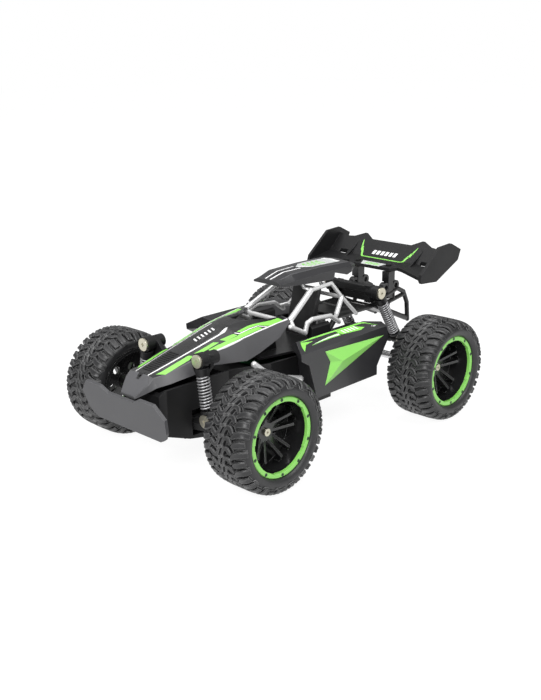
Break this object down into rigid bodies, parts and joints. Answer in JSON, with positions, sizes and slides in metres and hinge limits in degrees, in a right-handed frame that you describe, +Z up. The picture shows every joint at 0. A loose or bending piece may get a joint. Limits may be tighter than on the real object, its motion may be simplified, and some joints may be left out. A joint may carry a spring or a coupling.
{
  "type": "remote control car",
  "caption": "Two-wheel-drive toy buggy with sprung arms, coil shocks, steering knuckles, geared rear axle, roll cage, roof, side pods, bumper plate and rear wing.",
  "frame": {"origin": "on the floor, at the middle of the car's overall length and width", "axes": "+Z up, +X towards the car's left side, -Y towards its front"},
  "size_m": [0.1988, 0.2994, 0.1246],
  "materials": {
    "battery_wrap": "gloss",
    "black_plastic": "satin",
    "board": "satin",
    "body_plastic": "satin painted",
    "bumper_plastic": "matt",
    "gear_plastic": "satin",
    "green_plastic": "gloss",
    "motor_metal": "satin",
    "screw_steel": "bright",
    "silver_plastic": "silver painted",
    "steel": "bright",
    "tyre_rubber": "matt"
  },
  "bodies": {
    "chassis": {"chassis_tub": "black_plastic", "battery_door": "black_plastic", "battery_pack": "battery_wrap", "receiver_board": "board", "steering_servo": "black_plastic", "hood_shell": "body_plastic", "left_side_pod": "body_plastic", "right_side_pod": "body_plastic", "pod_insets": "green_plastic", "roof_panel": "body_plastic", "roll_cage": "silver_plastic", "seat_panel": "black_plastic", "front_bumper": "bumper_plastic", "front_shock_tower": "black_plastic", "rear_shock_tower": "black_plastic", "rear_frame": "black_plastic", "rear_wing": "body_plastic", "chassis_screws": "screw_steel", "suspension_pins": "steel"},
    "power_switch": {"power_switch": "black_plastic"},
    "steering_tie_rod": {"steering_tie_rod": "black_plastic"},
    "servo_horn": {"servo_horn": "gear_plastic"},
    "rear_drive_unit": {"gearbox_case": "black_plastic", "gearbox_cover": "black_plastic", "drive_motor": "motor_metal", "rear_shock_screws": "screw_steel"},
    "rear_wheels": {"rear_axle_shaft": "steel", "axle_gear": "gear_plastic", "rear_tyres": "tyre_rubber", "rear_rims": "black_plastic", "rear_rings": "green_plastic", "rear_wheel_screws": "screw_steel"},
    "idler_gear": {"idler_gear": "gear_plastic"},
    "motor_pinion": {"motor_pinion": "gear_plastic"},
    "left_front_arm": {"left_front_arm": "black_plastic", "left_arm_screw": "screw_steel"},
    "left_knuckle": {"left_knuckle": "black_plastic", "left_wheel_screw": "screw_steel"},
    "left_front_wheel": {"left_front_tyre": "tyre_rubber", "left_front_rim": "black_plastic", "left_front_ring": "green_plastic"},
    "left_front_shock_body": {"left_front_shock_body": "black_plastic", "left_front_spring": "steel"},
    "left_front_shock_rod": {"left_front_shock_rod": "black_plastic"},
    "left_rear_shock_body": {"left_rear_shock_body": "black_plastic", "left_rear_spring": "steel"},
    "left_rear_shock_rod": {"left_rear_shock_rod": "black_plastic"},
    "right_front_arm": {"right_front_arm": "black_plastic", "right_arm_screw": "screw_steel"},
    "right_knuckle": {"right_knuckle": "black_plastic", "right_wheel_screw": "screw_steel"},
    "right_front_wheel": {"right_front_tyre": "tyre_rubber", "right_front_rim": "black_plastic", "right_front_ring": "green_plastic"},
    "right_front_shock_body": {"right_front_shock_body": "black_plastic", "right_front_spring": "steel"},
    "right_front_shock_rod": {"right_front_shock_rod": "black_plastic"},
    "right_rear_shock_body": {"right_rear_shock_body": "black_plastic", "right_rear_spring": "steel"},
    "right_rear_shock_rod": {"right_rear_shock_rod": "black_plastic"}
  },
  "joints": [
    {"name": "left_front_arm_bounce", "type": "hinge", "parent": "chassis", "child": "left_front_arm", "pos_m": [0.012, -0.0917, 0.031], "axis": [0, -1, 0], "range_deg": [-8, 8], "stiffness_Nm_per_rad": 0.9, "springref_deg": -6.19},
    {"name": "left_wheel_steer", "type": "hinge", "parent": "left_front_arm", "child": "left_knuckle", "pos_m": [0.05, -0.0917, 0.039], "axis": [0, 0, 1], "range_deg": [-20, 20]},
    {"name": "left_front_wheel_spin", "type": "hinge", "parent": "left_knuckle", "child": "left_front_wheel", "pos_m": [0.0753, -0.0917, 0.039], "axis": [1, 0, 0], "continuous": true},
    {"name": "left_front_shock_swing", "type": "hinge", "parent": "chassis", "child": "left_front_shock_body", "pos_m": [0.028, -0.1022, 0.079], "axis": [0, -1, 0], "range_deg": [-2, 2]},
    {"name": "left_front_shock_stroke", "type": "slide", "parent": "left_front_shock_body", "child": "left_front_shock_rod", "axis": [0.139, 0, -0.9903], "range_m": [-0.0036, 0.0036], "deforming": ["left_front_spring"]},
    {"name": "left_rear_shock_swing", "type": "hinge", "parent": "chassis", "child": "left_rear_shock_body", "pos_m": [0.0241, 0.0883, 0.088], "axis": [1, 0, 0], "range_deg": [-5, 5]},
    {"name": "left_rear_shock_stroke", "type": "slide", "parent": "left_rear_shock_body", "child": "left_rear_shock_rod", "axis": [0, 0.5224, -0.8527], "range_m": [-0.0078, 0.0078], "deforming": ["left_rear_spring"]},
    {"name": "right_front_arm_bounce", "type": "hinge", "parent": "chassis", "child": "right_front_arm", "pos_m": [-0.012, -0.0917, 0.031], "axis": [0, 1, 0], "range_deg": [-8, 8], "stiffness_Nm_per_rad": 0.9, "springref_deg": -6.19},
    {"name": "right_wheel_steer", "type": "hinge", "parent": "right_front_arm", "child": "right_knuckle", "pos_m": [-0.05, -0.0917, 0.039], "axis": [0, 0, 1], "range_deg": [-20, 20]},
    {"name": "right_front_wheel_spin", "type": "hinge", "parent": "right_knuckle", "child": "right_front_wheel", "pos_m": [-0.0753, -0.0917, 0.039], "axis": [1, 0, 0], "continuous": true},
    {"name": "right_front_shock_swing", "type": "hinge", "parent": "chassis", "child": "right_front_shock_body", "pos_m": [-0.028, -0.1022, 0.079], "axis": [0, 1, 0], "range_deg": [-2, 2]},
    {"name": "right_front_shock_stroke", "type": "slide", "parent": "right_front_shock_body", "child": "right_front_shock_rod", "axis": [-0.139, 0, -0.9903], "range_m": [-0.0036, 0.0036], "deforming": ["right_front_spring"]},
    {"name": "right_rear_shock_swing", "type": "hinge", "parent": "chassis", "child": "right_rear_shock_body", "pos_m": [-0.0241, 0.0883, 0.088], "axis": [1, 0, 0], "range_deg": [-5, 5]},
    {"name": "right_rear_shock_stroke", "type": "slide", "parent": "right_rear_shock_body", "child": "right_rear_shock_rod", "axis": [0, 0.5224, -0.8527], "range_m": [-0.0078, 0.0078], "deforming": ["right_rear_spring"]},
    {"name": "rear_axle_bounce", "type": "hinge", "parent": "chassis", "child": "rear_drive_unit", "pos_m": [0, 0.0333, 0.04], "axis": [1, 0, 0], "range_deg": [-6, 6], "stiffness_Nm_per_rad": 1.9, "springref_deg": -6.3},
    {"name": "rear_wheels_spin", "type": "hinge", "parent": "rear_drive_unit", "child": "rear_wheels", "pos_m": [0, 0.0886, 0.039], "axis": [1, 0, 0], "continuous": true},
    {"name": "idler_gear_spin", "type": "hinge", "parent": "rear_drive_unit", "child": "idler_gear", "pos_m": [0, 0.071, 0.039], "axis": [1, 0, 0], "continuous": true},
    {"name": "motor_pinion_spin", "type": "hinge", "parent": "rear_drive_unit", "child": "motor_pinion", "pos_m": [0, 0.055, 0.039], "axis": [1, 0, 0], "continuous": true},
    {"name": "tie_rod_travel", "type": "slide", "parent": "chassis", "child": "steering_tie_rod", "axis": [1, 0, 0], "range_m": [-0.0076, 0.0076]},
    {"name": "servo_horn_turn", "type": "hinge", "parent": "chassis", "child": "servo_horn", "pos_m": [0, -0.0567, 0.038], "axis": [0, 0, 1], "range_deg": [-36, 36]},
    {"name": "power_switch_slide", "type": "slide", "parent": "chassis", "child": "power_switch", "axis": [0, 1, 0], "range_m": [0, 0.005]}
  ],
  "couplings": [
    {"joint": "left_front_shock_swing", "follows": "left_front_arm_bounce", "ratio": -0.10516},
    {"joint": "left_front_shock_stroke", "follows": "left_front_arm_bounce", "m_per_rad": -0.022518},
    {"joint": "left_rear_shock_swing", "follows": "rear_axle_bounce", "ratio": 0.75589},
    {"joint": "left_rear_shock_stroke", "follows": "rear_axle_bounce", "m_per_rad": -0.071974},
    {"joint": "right_front_shock_swing", "follows": "right_front_arm_bounce", "ratio": -0.10516},
    {"joint": "right_front_shock_stroke", "follows": "right_front_arm_bounce", "m_per_rad": -0.022518},
    {"joint": "right_rear_shock_swing", "follows": "rear_axle_bounce", "ratio": 0.75589},
    {"joint": "right_rear_shock_stroke", "follows": "rear_axle_bounce", "m_per_rad": -0.071974},
    {"joint": "idler_gear_spin", "follows": "rear_wheels_spin", "ratio": -2.6667},
    {"joint": "motor_pinion_spin", "follows": "rear_wheels_spin", "ratio": 8},
    {"joint": "right_wheel_steer", "follows": "left_wheel_steer", "ratio": 1},
    {"joint": "tie_rod_travel", "follows": "left_wheel_steer", "m_per_rad": -0.021556},
    {"joint": "servo_horn_turn", "follows": "left_wheel_steer", "ratio": -1.7683}
  ]
}
